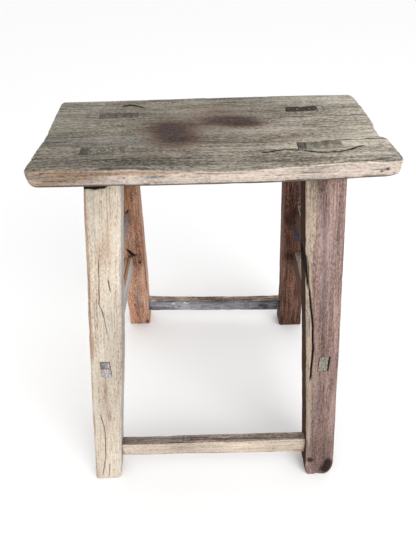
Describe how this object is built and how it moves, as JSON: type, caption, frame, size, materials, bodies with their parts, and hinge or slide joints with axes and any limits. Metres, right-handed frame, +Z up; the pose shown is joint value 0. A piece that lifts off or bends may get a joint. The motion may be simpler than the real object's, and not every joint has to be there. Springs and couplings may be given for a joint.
{
  "type": "milking stool",
  "caption": "Rustic wooden milking stool: a worn rectangular board seat on splayed legs, tied by low rails and side rails with wedged mortise and tenon joints.",
  "frame": {"origin": "on the floor, at the middle of the stool's bounding box", "axes": "+Z up; +X along the seat board, to the right seen from the front; +Y from the front to the back"},
  "size_m": [0.387, 0.3634, 0.5],
  "materials": {
    "seat": "weathered grey-brown board, worn satin",
    "front_left_leg": "pale cream weathered timber, matt",
    "front_right_leg": "reddish brown timber with grey streaks, worn satin",
    "back_left_leg": "warm red-brown timber, worn satin",
    "back_right_leg": "dark red-brown timber, worn satin",
    "front_rail": "grey-brown rail with a paler front, matt",
    "back_rail": "grey-brown rail with pale paint marks, matt",
    "left_lower_rail": "brown rail, matt",
    "left_upper_rail": "brown rail, matt",
    "right_lower_rail": "grey-brown rail, matt",
    "right_upper_rail": "grey-brown rail, matt",
    "wedge": "grey end grain, matt"
  },
  "bodies": {
    "root": {"seat": "seat", "front_left_leg": "front_left_leg", "front_right_leg": "front_right_leg", "back_left_leg": "back_left_leg", "back_right_leg": "back_right_leg", "front_rail": "front_rail", "back_rail": "back_rail", "left_lower_rail": "left_lower_rail", "left_upper_rail": "left_upper_rail", "right_lower_rail": "right_lower_rail", "right_upper_rail": "right_upper_rail", "front_left_seat_wedge": "wedge", "front_right_seat_wedge": "wedge", "back_left_seat_wedge": "wedge", "back_right_seat_wedge": "wedge", "left_lower_rail_wedge": "wedge"}
  },
  "joints": []
}
